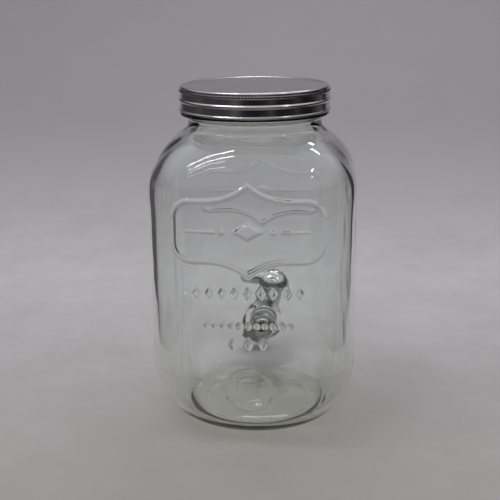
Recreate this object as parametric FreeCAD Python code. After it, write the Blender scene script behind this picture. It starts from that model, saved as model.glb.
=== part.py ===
import FreeCAD, Part
import math
import os

from FreeCAD import Rotation, Vector

# Millimetres. +Z is up, the jar stands on z = 0 about the Z axis, the tap is towards +Y.

# Glass jar: a square plan with soft corners that turns round at its base and neck
JAR_WIDTH = 154.0
FACE_FLAT = 66.0
FACE_BOW_RADIUS = 1500.0
WALL = 4.5
BASE_THICKNESS = 9.0
HEEL_IN = 31.0
HEEL_UP = 52.0
SHOULDER_START = 183.5
SHOULDER_RADIUS = 48.0
NECK_FLARE = 7.0
PUSH_UP_RADIUS = 34.0
PUSH_UP_DEPTH = 2.5
LOFT_STEPS = 6

# Neck finish above the flare: plain neck, handling bead, threaded land and rim
LAND_RADIUS = 53.0
LAND_HEIGHT = 16.5
NECK_IN = 3.0
NECK_LENGTH = 3.0
BEAD_PROUD = 2.4
BEAD_HEIGHT = 5.0
FINISH_WALL = 5.0
RIM_ROUND = 1.5

# Screw thread of the jar and the lid
THREAD_PITCH = 5.08
THREAD_DEPTH = 1.5
THREAD_ROOT_WIDTH = 2.6
THREAD_CREST_WIDTH = 1.3
THREAD_RISE = 5.0
THREAD_CLEARANCE = 0.8
THREAD_ROOT_GAP = 0.4
JAR_THREAD_TURNS = 1.15
LID_THREAD_TURNS = 1.0
LID_THREAD_WIDTH = 1.9

# Moulded plaque on the front and the back: rectangle with a pointed top and bottom
PLAQUE_WIDTH = 109.0
PLAQUE_HEIGHT = 46.5
PLAQUE_POINT = 11.0
PLAQUE_OGEE = 30.0
PLAQUE_CORNER = 14.0
PLAQUE_CENTRE = 164.5
PLAQUE_BORDER = 3.6
EMBOSS = 1.0
LOZENGE_WIDTH = 26.0
LOZENGE_HEIGHT = 15.0
BAR_LENGTH = 22.0
BAR_WIDTH = 2.6
BEAD_DOT = 2.2
ORNAMENT_GAP = 3.0

# Rows of plain lozenges and beads below the front plaque
UPPER_ROW_HEIGHT = 119.5
UPPER_ROW_COUNT = 9
UPPER_ROW_PITCH = 9.2
MIDDLE_ROW_HEIGHT = 95.0
MIDDLE_ROW_COUNT = 11
MIDDLE_ROW_PITCH = 6.0
LOWER_ROW_HEIGHT = 81.0
LOWER_ROW_COUNT = 3
LOWER_ROW_PITCH = 11.0
ROW_LOZENGE_WIDTH = 6.4
ROW_LOZENGE_HEIGHT = 10.5
ROW_BEAD_RADIUS = 1.9

# Lid
LID_SHEET = 0.5
LID_RIM_RISE = 0.9
LID_RIM_WIDTH = 3.2
LID_EDGE_ROUND = 1.2
LID_BEAD = 0.7
LID_CURL = 0.9
LID_GAP = 0.7
KNURL_TEETH = 160
KNURL_DEPTH = 0.35
KNURL_HEIGHT = 3.2
LINER_THICKNESS = 1.4
LINER_GAP = 0.6

# Tap: its shank axis is level, and it is turned about that axis by its lean
TAP_HEIGHT = 44.5
TAP_LEAN = 18.5
PAD_RADIUS = 17.0
PAD_PROUD = 0.6
PAD_RECESS_RADIUS = 9.2
PAD_RECESS_DEPTH = 0.5
SEAT_CLEARANCE = 1.5
SEAT_GLASS = 5.0
SHANK_RADIUS = 7.8
SHANK_BORE = 5.0
SHANK_PITCH = 2.0
SHANK_THREAD_DEPTH = 0.8
SHANK_SPARE = 3.0
HOLE_CLEARANCE = 0.4
WASHER_CLEARANCE = 0.2
NUT_CLEARANCE = 0.1
WASHER_RADIUS = 11.5
OUTER_WASHER = 2.0
INNER_WASHER = 2.0
SLIP_RING = 1.2
NUT_THICKNESS = 8.0
NUT_FLATS = 20.0
NUT_CHAMFER = 0.9
NUT_ROOM = 1.0
FLANGE_RADIUS = 12.0
FLANGE_THICKNESS = 3.5
FLANGE_ROUND = 1.2
BARREL_ROOT_RADIUS = 10.0
BARREL_END_RADIUS = 8.5
TAP_REACH = 44.0
COLUMN_RADIUS = 11.0
COLUMN_TOP = 14.5
COLUMN_FOOT = 11.0
SPOUT_DROP = 36.0
SPOUT_TOP_FLATS = 18.0
SPOUT_END_FLATS = 23.5
SPOUT_SIDES = 8
SPOUT_BORE = 6.5

# Valve
PLUG_RADIUS = 8.0
PLUG_CLEARANCE = 0.08
PLUG_FLOOR = 10.0
PLUG_BORE = 5.5
PLUG_END_GAP = 0.2
PORT_RADIUS = 4.2
PORT_ROOF = 5.5
SEAL_WIRE = 0.8
SEAL_GAP = 0.03
SEAL_SIDE_GAP = 0.2
SEAL_UPPER_HEIGHT = 10.5
SEAL_LOWER_HEIGHT = -7.2
BONNET_RADIUS = 12.0
BONNET_THICKNESS = 2.4
BONNET_SPIGOT = 1.8
STEM_SQUARE = 7.0
STEM_HEIGHT = 5.5
STEM_CLEARANCE = 0.1

# Handle
HANDLE_GAP = 0.4
HUB_RADIUS = 15.0
HUB_HEIGHT = 16.0
HUB_CROWN_RADIUS = 6.0
HUB_WAIST = 3.5
LEVER_REACH = 31.0
LEVER_DROOP = 7.0
LEVER_ROOT_RADIUS = 8.0
LEVER_END_RADIUS = 5.5
LEVER_HEIGHT = 8.0
SCREW_RADIUS = 2.0
SCREW_HEAD_RADIUS = 3.6
SCREW_HEAD_HEIGHT = 2.2
SCREW_GRIP = 3.2
SCREW_LENGTH = 9.0
SCREW_CLEARANCE = 0.15
SCREW_SLOT = 0.9
CAP_SINK = 1.2
CAP_CROWN = 0.9

UP = Vector(0, 0, 1)
ORIGIN = Vector(0, 0, 0)

half_width = JAR_WIDTH / 2
neck_radius = LAND_RADIUS - NECK_IN
bead_radius = LAND_RADIUS + BEAD_PROUD
mouth_radius = LAND_RADIUS - FINISH_WALL
corner_turn = math.atan2(FACE_FLAT / 2, half_width)
flare_turn = math.acos(1 - (half_width - neck_radius) / (SHOULDER_RADIUS + NECK_FLARE))
neck_base = SHOULDER_START + (SHOULDER_RADIUS + NECK_FLARE) * math.sin(flare_turn)
bead_base = neck_base + NECK_LENGTH
land_base = bead_base + BEAD_HEIGHT
rim_top = land_base + LAND_HEIGHT
thread_base = land_base + THREAD_RISE
lid_bore = LAND_RADIUS + THREAD_DEPTH + THREAD_CLEARANCE
lid_radius = lid_bore + LID_SHEET
lid_foot = land_base + LID_GAP
lid_panel = rim_top + LINER_THICKNESS + LID_SHEET
lid_top = lid_panel + LID_RIM_RISE
pad_face = half_width + PAD_PROUD
nut_corner = NUT_FLATS / math.sqrt(3)
seat_radius = max(WASHER_RADIUS + SEAT_CLEARANCE, nut_corner + NUT_ROOM)
barrel_start = OUTER_WASHER + FLANGE_THICKNESS
washer_bore = SHANK_RADIUS + WASHER_CLEARANCE
inner_washer_end = -SEAT_GLASS - INNER_WASHER
nut_seat = inner_washer_end - SLIP_RING
nut_end = nut_seat - NUT_THICKNESS
valve_bore = PLUG_RADIUS + PLUG_CLEARANCE
plug_foot = PLUG_END_GAP - PLUG_FLOOR
plug_top = COLUMN_TOP - BONNET_SPIGOT - PLUG_END_GAP
stem_top = COLUMN_TOP + BONNET_THICKNESS + STEM_HEIGHT
hub_foot = COLUMN_TOP + BONNET_THICKNESS + HANDLE_GAP
hub_top = hub_foot + HUB_HEIGHT
screw_seat = stem_top + SCREW_GRIP
stem_radius = STEM_SQUARE / math.sqrt(2)


def outline(start, *steps):
    """A closed outline in the XZ plane: a step is a point, or a middle and an end point of an arc."""
    here = Vector(start[0], 0, start[1])
    first = here
    edges = []
    for step in steps:
        if isinstance(step[0], tuple):
            middle = Vector(step[0][0], 0, step[0][1])
            there = Vector(step[1][0], 0, step[1][1])
            edges.append(Part.Arc(here, middle, there).toShape())
        else:
            there = Vector(step[0], 0, step[1])
            edges.append(Part.LineSegment(here, there).toShape())
        here = there
    if here.distanceToPoint(first) > 1e-6:
        edges.append(Part.LineSegment(here, first).toShape())
    return Part.Wire(edges)


def turned(wire):
    """The solid that an outline sweeps about the Z axis."""
    return Part.Face(wire).revolve(ORIGIN, UP, 360)


def cylinder(radius, low, high):
    return Part.makeCylinder(radius, high - low, Vector(0, 0, low))


def ring(inner, outer, low, high):
    return cylinder(outer, low, high).cut(cylinder(inner, low, high))


def polygon_wire(sides, across_flats, height):
    """A regular polygon, level, with a flat side towards +X."""
    radius = across_flats / 2 / math.cos(math.pi / sides)
    points = []
    for index in range(sides + 1):
        angle = math.pi * (2 * index + 1) / sides
        points.append(Vector(radius * math.cos(angle), radius * math.sin(angle), height))
    return Part.makePolygon(points)


def helical_ridge(radius, crest, root_width, crest_width, pitch, turns, base):
    """A right-handed thread ridge from one radius to its crest radius, starting at +X."""
    path = Part.Wire(Part.makeHelix(pitch, pitch * turns, radius).Edges)
    section = Part.makePolygon([
        Vector(radius, 0, -root_width / 2),
        Vector(crest, 0, -crest_width / 2),
        Vector(crest, 0, crest_width / 2),
        Vector(radius, 0, root_width / 2),
        Vector(radius, 0, -root_width / 2),
    ])
    ridge = path.makePipeShell([section], True, True)
    ridge.translate(Vector(0, 0, base))
    return ridge


def along_shank(shape):
    """Lays a piece made about the Z axis along the shank, its +Z towards +Y."""
    return shape.rotated(ORIGIN, Vector(1, 0, 0), -90)


def at_spout(shape):
    """Moves a piece made about the Z axis onto the spout's axis."""
    return shape.translated(Vector(0, TAP_REACH, 0))


def on_jar(shape):
    """Leans a tap piece about the shank and moves it onto the drilled pad."""
    leaned = shape.rotated(ORIGIN, Vector(0, 1, 0), TAP_LEAN)
    return leaned.translated(Vector(0, pad_face, TAP_HEIGHT))


def plan_wire(half, roundness, height):
    """The jar's plan at one level: four bowed faces and four corner arcs, a circle at roundness 1."""
    bow = 1 / ((1 - roundness) / FACE_BOW_RADIUS + roundness / half)
    offset = half - bow
    reach = offset * math.cos(corner_turn) + math.sqrt(bow ** 2 - (offset * math.sin(corner_turn)) ** 2)
    side = reach * math.sin(corner_turn)
    front = reach * math.cos(corner_turn)
    lean = math.asin(side / bow)
    corner = (front - side) / (math.cos(lean) - math.sin(lean))
    diagonal = side - corner * math.sin(lean) + corner / math.sqrt(2)
    points = [(-side, front), (0, half), (side, front), (diagonal, diagonal), (front, side)]
    edges = []
    for quarter in range(4):
        spin = Rotation(UP, -90 * quarter)
        a, b, c, d, e = [spin.multVec(Vector(x, y, height)) for x, y in points]
        edges.append(Part.Arc(a, b, c).toShape())
        edges.append(Part.Arc(c, d, e).toShape())
    return Part.Wire(edges)


def jar_form(inset, floor):
    """The jar's form up to the neck, drawn in by inset, with its floor at a level."""
    half = half_width - inset
    heel = HEEL_IN - inset
    shoulder = SHOULDER_RADIUS - inset
    flare = NECK_FLARE + inset
    heel_plans = []
    for step in range(LOFT_STEPS + 1):
        turn = math.pi / 2 * step / LOFT_STEPS
        drawn_in = 1 - math.sin(turn)
        height = floor + (HEEL_UP - floor) * (1 - math.cos(turn))
        heel_plans.append(plan_wire(half - heel * drawn_in, math.sqrt(drawn_in), height))
    shoulder_plans = []
    for step in range(LOFT_STEPS + 1):
        turn = flare_turn * step / LOFT_STEPS
        drawn_in = shoulder * (1 - math.cos(turn))
        roundness = drawn_in / (half_width - neck_radius)
        height = SHOULDER_START + shoulder * math.sin(turn)
        shoulder_plans.append(plan_wire(half - drawn_in, roundness, height))
    for step in range(1, LOFT_STEPS + 1):
        turn = flare_turn * (1 - step / LOFT_STEPS)
        radius = neck_radius - inset + flare * (1 - math.cos(turn))
        roundness = (half - radius) / (half_width - neck_radius)
        height = neck_base - flare * math.sin(turn)
        shoulder_plans.append(plan_wire(radius, roundness, height))
    walls = Part.Face(plan_wire(half, 0, HEEL_UP)).extrude(UP * (SHOULDER_START - HEEL_UP))
    heel_form = Part.makeLoft(heel_plans, True)
    shoulder_form = Part.makeLoft(shoulder_plans, True)
    return heel_form.fuse([walls, shoulder_form])


def plaque_wire():
    """The plaque's outline on the front face, a rectangle with a bracket point above and below."""
    side = PLAQUE_WIDTH / 2
    rise = PLAQUE_HEIGHT / 2
    inner = rise - PLAQUE_CORNER
    nub = PLAQUE_CORNER * (1 - math.sqrt(0.5))
    radius = (PLAQUE_OGEE ** 2 + PLAQUE_POINT ** 2) / (2 * PLAQUE_POINT)
    half_turn = math.asin(PLAQUE_OGEE / radius) / 2
    bend = PLAQUE_OGEE - radius * math.sin(half_turn)
    lift = rise + radius * (1 - math.cos(half_turn))
    peak = rise + PLAQUE_POINT
    flat = side - PLAQUE_CORNER
    wire = outline(
        (-side, -inner), (-side, inner), ((nub - side, rise - nub), (-flat, rise)),
        (-PLAQUE_OGEE, rise), ((-bend, lift), (0, peak)),
        ((bend, lift), (PLAQUE_OGEE, rise)), (flat, rise),
        ((side - nub, rise - nub), (side, inner)), (side, -inner),
        ((side - nub, nub - rise), (flat, -rise)), (PLAQUE_OGEE, -rise),
        ((bend, -lift), (0, -peak)), ((-bend, -lift), (-PLAQUE_OGEE, -rise)),
        (-flat, -rise), ((nub - side, nub - rise), (-side, -inner)),
    )
    return wire


def lozenge_face(across, width, height, level):
    """A lozenge on the front plane, centred at a distance across and at a level."""
    wide = width / 2
    tall = height / 2
    return Part.Face(outline((across - wide, level), (across, level + tall), (across + wide, level),
                             (across, level - tall)))


def bead_face(across, radius, level):
    """A round bead on the front plane."""
    circle = Part.makeCircle(radius, Vector(across, 0, level), Vector(0, -1, 0))
    return Part.Face(Part.Wire(circle))


def row_places(count, pitch):
    """Even places across the front, centred on the jar."""
    return [pitch * (index - (count - 1) / 2) for index in range(count)]


def plaque_faces():
    """The plaque's border with a plain lozenge, bead and bar ornament inside it."""
    border = plaque_wire()
    field = Part.Face(border.makeOffset2D(-PLAQUE_BORDER))
    faces = [Part.Face(border).cut(field).Faces[0]]
    faces.append(lozenge_face(0, LOZENGE_WIDTH, LOZENGE_HEIGHT, 0))
    for side in (-1, 1):
        bead = LOZENGE_WIDTH / 2 + ORNAMENT_GAP + BEAD_DOT
        near = bead + BEAD_DOT + ORNAMENT_GAP
        far = near + BAR_LENGTH
        faces.append(bead_face(side * bead, BEAD_DOT, 0))
        bar = outline((side * near, -BAR_WIDTH / 2), (side * near, BAR_WIDTH / 2), (side * far, 0))
        faces.append(Part.Face(bar))
    return [face.translated(UP * PLAQUE_CENTRE) for face in faces]


def row_faces():
    """The rows below the front plaque: lozenges, beads and lozenges again."""
    faces = []
    for across in row_places(UPPER_ROW_COUNT, UPPER_ROW_PITCH):
        faces.append(lozenge_face(across, ROW_LOZENGE_WIDTH, ROW_LOZENGE_HEIGHT, UPPER_ROW_HEIGHT))
    for across in row_places(MIDDLE_ROW_COUNT, MIDDLE_ROW_PITCH):
        faces.append(bead_face(across, ROW_BEAD_RADIUS, MIDDLE_ROW_HEIGHT))
    for across in row_places(LOWER_ROW_COUNT, LOWER_ROW_PITCH):
        faces.append(lozenge_face(across, ROW_LOZENGE_WIDTH, ROW_LOZENGE_HEIGHT, LOWER_ROW_HEIGHT))
    return faces


def raised_from(faces, raised):
    """The faces pushed into the front of the raised form, as solids that stand on the glass."""
    prisms = []
    for face in faces:
        prism = face.extrude(Vector(0, -JAR_WIDTH, 0))
        prism.translate(Vector(0, -half_width / 2, 0))
        prisms.append(prism)
    return Part.makeCompound(prisms).common(raised).Solids


def neck_finish():
    """Neck, handling bead, threaded land and rim, bored through."""
    neck_bore = neck_radius - WALL
    bead_middle = bead_base + BEAD_HEIGHT / 2
    nub = RIM_ROUND * (1 - math.sqrt(0.5))
    form = turned(outline(
        (neck_bore, neck_base), (neck_radius, neck_base), (neck_radius, bead_base),
        ((bead_radius, bead_middle), (LAND_RADIUS, land_base)),
        (LAND_RADIUS, rim_top - RIM_ROUND),
        ((LAND_RADIUS - nub, rim_top - nub), (LAND_RADIUS - RIM_ROUND, rim_top)),
        (mouth_radius + RIM_ROUND, rim_top),
        ((mouth_radius + nub, rim_top - nub), (mouth_radius, rim_top - RIM_ROUND)),
        (mouth_radius, bead_middle),
    ))
    ridge = helical_ridge(
        LAND_RADIUS - THREAD_DEPTH / 4, LAND_RADIUS + THREAD_DEPTH, THREAD_ROOT_WIDTH,
        THREAD_CREST_WIDTH, THREAD_PITCH, JAR_THREAD_TURNS, thread_base,
    )
    return form.fuse(ridge)


def glass_jar():
    inside = jar_form(WALL, BASE_THICKNESS)
    outside = jar_form(0, 0)
    raised = jar_form(-EMBOSS, 0)
    pad_depth = HEEL_IN
    back_pad = along_shank(cylinder(PAD_RADIUS, pad_face - pad_depth, pad_face))
    back_pad.translate(UP * TAP_HEIGHT)
    front_recess = along_shank(cylinder(PAD_RECESS_RADIUS, pad_face - PAD_RECESS_DEPTH, pad_face))
    front_recess.translate(UP * TAP_HEIGHT)
    added = [back_pad, back_pad.rotated(ORIGIN, UP, 180)]
    added += raised_from(row_faces(), raised)
    for relief in raised_from(plaque_faces(), raised):
        added.append(relief)
        added.append(relief.rotated(ORIGIN, UP, 180))
    outside = outside.fuse(added)
    seat_depth = pad_face - SEAT_GLASS
    seat = along_shank(cylinder(seat_radius, seat_depth - pad_depth, seat_depth))
    hole = along_shank(cylinder(SHANK_RADIUS + HOLE_CLEARANCE, seat_depth, pad_face))
    push_up_ball = (PUSH_UP_RADIUS ** 2 + PUSH_UP_DEPTH ** 2) / (2 * PUSH_UP_DEPTH)
    push_up = Part.makeSphere(push_up_ball, Vector(0, 0, PUSH_UP_DEPTH - push_up_ball))
    cuts = [
        inside,
        seat.translated(UP * TAP_HEIGHT),
        hole.translated(UP * TAP_HEIGHT),
        front_recess.rotated(ORIGIN, UP, 180),
        push_up,
    ]
    return outside.cut(cuts).fuse(neck_finish())


def lid_shell():
    """Drawn sheet cap: recessed panel, rim, knurl, bead, rolled foot and an inner thread."""
    rim_inner = lid_radius - LID_EDGE_ROUND - LID_RIM_WIDTH
    edge = lid_radius - LID_EDGE_ROUND
    nub = LID_EDGE_ROUND * (1 - math.sqrt(0.5))
    shoulder = lid_top - LID_EDGE_ROUND
    middle = (lid_foot + lid_top) / 2
    curl_top = lid_foot + 2 * LID_CURL
    shell = turned(outline(
        (0, lid_panel), (rim_inner, lid_panel), (rim_inner + LID_RIM_RISE, lid_top), (edge, lid_top),
        ((lid_radius - nub, lid_top - nub), (lid_radius, shoulder)),
        (lid_radius, middle + 2 * LID_BEAD),
        ((lid_radius + LID_BEAD, middle), (lid_radius, middle - 2 * LID_BEAD)),
        (lid_radius, curl_top),
        ((lid_radius + LID_CURL, lid_foot + LID_CURL), (lid_radius, lid_foot)),
        (lid_bore, lid_foot), (lid_bore, shoulder), (edge, lid_top - LID_SHEET),
        (rim_inner + LID_RIM_RISE + LID_SHEET / 2, lid_top - LID_SHEET),
        (rim_inner + LID_SHEET / 2, lid_panel - LID_SHEET), (0, lid_panel - LID_SHEET),
    ))
    points = []
    for index in range(2 * KNURL_TEETH + 1):
        angle = math.pi * index / KNURL_TEETH
        radius = lid_radius + KNURL_DEPTH * (index % 2)
        points.append(Vector(radius * math.cos(angle), radius * math.sin(angle), 0))
    teeth = Part.Face(Part.makePolygon(points)).extrude(UP * KNURL_HEIGHT)
    teeth.translate(UP * (shoulder - KNURL_HEIGHT))
    knurl = teeth.cut(cylinder(lid_bore + LID_SHEET / 2, lid_foot, lid_top))
    ridge = helical_ridge(
        lid_bore + LID_SHEET / 2, LAND_RADIUS + THREAD_ROOT_GAP, LID_THREAD_WIDTH,
        LID_THREAD_WIDTH / 2, THREAD_PITCH, LID_THREAD_TURNS, thread_base - THREAD_PITCH / 2,
    )
    return shell.fuse([knurl, ridge])


def lid_liner():
    radius = lid_radius - LID_EDGE_ROUND - LID_RIM_WIDTH - LINER_GAP
    return cylinder(radius, rim_top, rim_top + LINER_THICKNESS)


def tap_body():
    """Shank, flange, barrel, valve column and faceted spout, cast as one and plated."""
    shank_end = nut_end - SHANK_SPARE
    root = SHANK_RADIUS - SHANK_THREAD_DEPTH
    thread_turns = (-SEAT_GLASS - shank_end - SHANK_PITCH) / SHANK_PITCH
    thread = helical_ridge(
        root - SHANK_THREAD_DEPTH / 4, SHANK_RADIUS, SHANK_PITCH * 0.8, SHANK_PITCH * 0.3,
        SHANK_PITCH, thread_turns, shank_end + SHANK_PITCH / 2,
    )
    nub = FLANGE_ROUND * (1 - math.sqrt(0.5))
    turned_part = turned(outline(
        (0, shank_end), (root, shank_end), (root, -SEAT_GLASS), (SHANK_RADIUS, -SEAT_GLASS),
        (SHANK_RADIUS, OUTER_WASHER), (FLANGE_RADIUS, OUTER_WASHER),
        (FLANGE_RADIUS, barrel_start - FLANGE_ROUND),
        ((FLANGE_RADIUS - nub, barrel_start - nub), (FLANGE_RADIUS - FLANGE_ROUND, barrel_start)),
        (BARREL_ROOT_RADIUS, barrel_start), (BARREL_END_RADIUS, TAP_REACH), (0, TAP_REACH),
    ))
    column = cylinder(COLUMN_RADIUS, -COLUMN_FOOT, COLUMN_TOP)
    spout = Part.makeLoft([
        polygon_wire(SPOUT_SIDES, SPOUT_END_FLATS, -SPOUT_DROP),
        polygon_wire(SPOUT_SIDES, SPOUT_TOP_FLATS, -COLUMN_FOOT),
    ], True, True)
    body = along_shank(turned_part.fuse(thread)).fuse([at_spout(column), at_spout(spout)])
    inlet = along_shank(cylinder(SHANK_BORE, shank_end, TAP_REACH))
    chamber = at_spout(cylinder(valve_bore, -PLUG_FLOOR, COLUMN_TOP))
    outlet = at_spout(cylinder(SPOUT_BORE, -SPOUT_DROP, 0))
    return body.cut([inlet, chamber, outlet])


def tap_washers():
    """The four rings on the shank: two soft washers, the slip ring and the nut."""
    nut_plan = polygon_wire(6, NUT_FLATS, nut_end)
    blank = turned(outline(
        (0, nut_end), (NUT_FLATS / 2, nut_end), (nut_corner, nut_end + NUT_CHAMFER),
        (nut_corner, nut_seat - NUT_CHAMFER), (NUT_FLATS / 2, nut_seat), (0, nut_seat),
    ))
    nut = Part.Face(nut_plan).extrude(UP * NUT_THICKNESS).common(blank)
    return {
        "tap_outer_washer": ring(washer_bore, WASHER_RADIUS, 0, OUTER_WASHER),
        "tap_inner_washer": ring(washer_bore, WASHER_RADIUS, inner_washer_end, -SEAT_GLASS),
        "tap_slip_ring": ring(washer_bore, WASHER_RADIUS, nut_seat, inner_washer_end),
        "tap_lock_nut": nut.cut(cylinder(SHANK_RADIUS + NUT_CLEARANCE, nut_end, nut_seat)),
    }


def valve_plug():
    """Hollow plug with one side port and a square stem for the handle."""
    groove_floor = valve_bore - SEAL_GAP - 2 * SEAL_WIRE - SEAL_GAP
    reach = SEAL_WIRE + SEAL_SIDE_GAP
    body = cylinder(PLUG_RADIUS, plug_foot, plug_top)
    stem = Part.Face(polygon_wire(4, STEM_SQUARE, plug_top)).extrude(UP * (stem_top - plug_top))
    port = Part.makeCylinder(PORT_RADIUS, PLUG_RADIUS, ORIGIN, Vector(1, 0, 0))
    cuts = [cylinder(PLUG_BORE, plug_foot, PORT_ROOF), port]
    for level in (SEAL_UPPER_HEIGHT, SEAL_LOWER_HEIGHT):
        cuts.append(ring(groove_floor, PLUG_RADIUS, level - reach, level + reach))
    cuts.append(cylinder(SCREW_RADIUS, screw_seat - SCREW_LENGTH, stem_top))
    return body.fuse(stem).cut(cuts)


def plug_seal(level):
    middle = valve_bore - SEAL_GAP - SEAL_WIRE
    return Part.makeTorus(middle, SEAL_WIRE, Vector(0, 0, level))


def valve_bonnet():
    """Plated ring on the column, with a spigot that holds the plug down."""
    bore = stem_radius + HANDLE_GAP
    low = COLUMN_TOP - BONNET_SPIGOT
    disc = ring(bore, BONNET_RADIUS, COLUMN_TOP, COLUMN_TOP + BONNET_THICKNESS)
    return disc.fuse(ring(bore, PLUG_RADIUS, low, COLUMN_TOP))


def tap_handle():
    """Domed hub with one drooping lever, socketed on the plug's stem."""
    bulge = (HUB_RADIUS + HUB_CROWN_RADIUS) / 2 + HUB_RADIUS / 7
    hub = turned(outline(
        (0, hub_foot), (HUB_RADIUS, hub_foot), (HUB_RADIUS, hub_foot + HUB_WAIST),
        ((bulge, (hub_foot + 2 * hub_top) / 3), (HUB_CROWN_RADIUS, hub_top)), (0, hub_top),
    ))
    lever_run = LEVER_REACH - LEVER_END_RADIUS
    lever_length = math.hypot(lever_run, LEVER_DROOP)
    tilt = math.degrees(math.atan2(LEVER_DROOP, lever_run))
    lever = Part.makeCone(LEVER_ROOT_RADIUS, LEVER_END_RADIUS, lever_length)
    lever = lever.fuse(Part.makeSphere(LEVER_END_RADIUS, Vector(0, 0, lever_length)))
    lever.rotate(ORIGIN, Vector(0, 1, 0), -90 - tilt)
    lever.translate(UP * (hub_foot + LEVER_HEIGHT))
    head_room = SCREW_HEAD_RADIUS + SCREW_CLEARANCE
    socket_wire = polygon_wire(4, STEM_SQUARE + 2 * STEM_CLEARANCE, hub_foot)
    socket = Part.Face(socket_wire).extrude(UP * (stem_top + STEM_CLEARANCE - hub_foot))
    cuts = [
        cylinder(BONNET_RADIUS + HANDLE_GAP, hub_foot - LEVER_REACH, hub_foot),
        socket,
        cylinder(SCREW_RADIUS + SCREW_CLEARANCE, stem_top, hub_top),
        cylinder(head_room, screw_seat, hub_top),
    ]
    return hub.fuse(lever).cut(cuts)


def handle_screw():
    """Slotted screw, its head on the hub's step and its shank in the plug's stem."""
    head_top = screw_seat + SCREW_HEAD_HEIGHT
    head = cylinder(SCREW_HEAD_RADIUS, screw_seat, head_top)
    shank = cylinder(SCREW_RADIUS, screw_seat - SCREW_LENGTH + SCREW_CLEARANCE, screw_seat)
    slot = Part.makeBox(2 * SCREW_HEAD_RADIUS, SCREW_SLOT, SCREW_HEAD_HEIGHT / 2)
    slot.translate(Vector(-SCREW_HEAD_RADIUS, -SCREW_SLOT / 2, head_top - SCREW_HEAD_HEIGHT / 2))
    return head.fuse(shank).cut(slot)


def handle_cap():
    """Domed button pressed into the hub over the screw."""
    dome_radius = (SCREW_HEAD_RADIUS ** 2 + CAP_CROWN ** 2) / (2 * CAP_CROWN)
    crown = hub_top + CAP_CROWN
    dome = Part.makeSphere(dome_radius, Vector(0, 0, crown - dome_radius))
    return cylinder(SCREW_HEAD_RADIUS, hub_top - CAP_SINK, crown).common(dome)


def assembly():
    nodes = {
        "glass_jar": glass_jar(),
        "lid_shell": lid_shell(),
        "lid_liner": lid_liner(),
        "tap_body": on_jar(tap_body()),
    }
    for name, washer in tap_washers().items():
        nodes[name] = on_jar(along_shank(washer))
    valve = {
        "valve_plug": valve_plug(),
        "plug_seal_upper": plug_seal(SEAL_UPPER_HEIGHT),
        "plug_seal_lower": plug_seal(SEAL_LOWER_HEIGHT),
        "valve_bonnet": valve_bonnet(),
        "tap_handle": tap_handle(),
        "handle_screw": handle_screw(),
        "handle_cap": handle_cap(),
    }
    for name, piece in valve.items():
        nodes[name] = on_jar(at_spout(piece))
    return nodes


os.makedirs("parts", exist_ok=True)
for name, shape in assembly().items():
    box = shape.BoundBox
    print(f"{name:18s} solids {len(shape.Solids)} valid {shape.isValid()} volume {shape.Volume:10.1f}"
          f" z {box.ZMin:7.2f} to {box.ZMax:7.2f}")
    shape.exportStep(f"parts/{name}.step")
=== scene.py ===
import math

import bmesh
import bpy
import numpy as np
from mathutils import Matrix


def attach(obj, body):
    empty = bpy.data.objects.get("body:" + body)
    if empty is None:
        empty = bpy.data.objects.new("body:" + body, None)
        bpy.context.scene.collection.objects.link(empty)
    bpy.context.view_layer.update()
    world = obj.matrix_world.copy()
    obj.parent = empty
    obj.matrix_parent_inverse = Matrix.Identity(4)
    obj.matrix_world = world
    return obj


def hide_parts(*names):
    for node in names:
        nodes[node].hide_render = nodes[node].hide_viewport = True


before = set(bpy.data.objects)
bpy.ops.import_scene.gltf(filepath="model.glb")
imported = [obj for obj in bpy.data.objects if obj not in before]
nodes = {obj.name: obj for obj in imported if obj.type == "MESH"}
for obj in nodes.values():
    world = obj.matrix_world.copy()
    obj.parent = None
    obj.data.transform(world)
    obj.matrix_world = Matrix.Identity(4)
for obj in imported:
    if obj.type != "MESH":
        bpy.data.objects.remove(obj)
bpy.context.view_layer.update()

# Glass jar: clear soda-lime glass, blown in a mould as one piece, square with soft
# corners and round at its foot and neck. Its plaques, rows and tap pads are moulded
# in the outside wall, and the pad at the back is drilled for the tap.
MM = 0.001
JAR_HALF = 77.0
FACE_FLAT = 66.0
FACE_BOW = 1500.0
WALL = 4.5
BASE_THICKNESS = 9.0
HEEL_IN = 31.0
INNER_HEEL_IN = 23.0
INNER_HEEL_DROP = 2.2
HEEL_UP = 52.0
SHOULDER_START = 183.5
SHOULDER_RADIUS = 48.0
NECK_RADIUS = 50.0
NECK_FLARE = 7.0
NECK_LENGTH = 3.0
BEAD_RADIUS = 55.4
BEAD_HEIGHT = 5.0
BEAD_LIFT = 1.6
LAND_RADIUS = 53.0
LAND_HEIGHT = 16.5
MOUTH_RADIUS = 48.0
MOUTH_STRAIGHT = 6.0
NECK_BORE = 46.2
RIM_ROUND = 1.5
THREAD_PITCH = 5.08
THREAD_DEPTH = 1.5
THREAD_WIDTH = 2.6
THREAD_TURNS = 1.15
THREAD_RISE = 5.0
PUSH_UP_RADIUS = 43.0
PUSH_UP_DEPTH = 2.5
PUSH_UP_STEP = 0.4
PUSH_UP_LIP, PUSH_UP_LIP_RISE = 1.3, 0.12
PUSH_UP_FOOT = 2.0
STIPPLE_COUNT = 75
STIPPLE_DEPTH = 0.3
TAP_HEIGHT = 44.5
PAD_RADIUS = 17.0
PAD_FACE = 77.6
PAD_EDGE = 2.8
PAD_RECESS_EDGE = 1.6
PAD_RECESS_RADIUS = 9.2
PAD_RECESS_DEPTH = 0.5
SEAT_RADIUS = 13.0
SEAT_FACE = 72.6
SEAT_EDGE = 2.0
TAP_HOLE = 8.2
WAVE_DEPTH = 0.16
WAVE_LENGTH = 46.0

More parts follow.
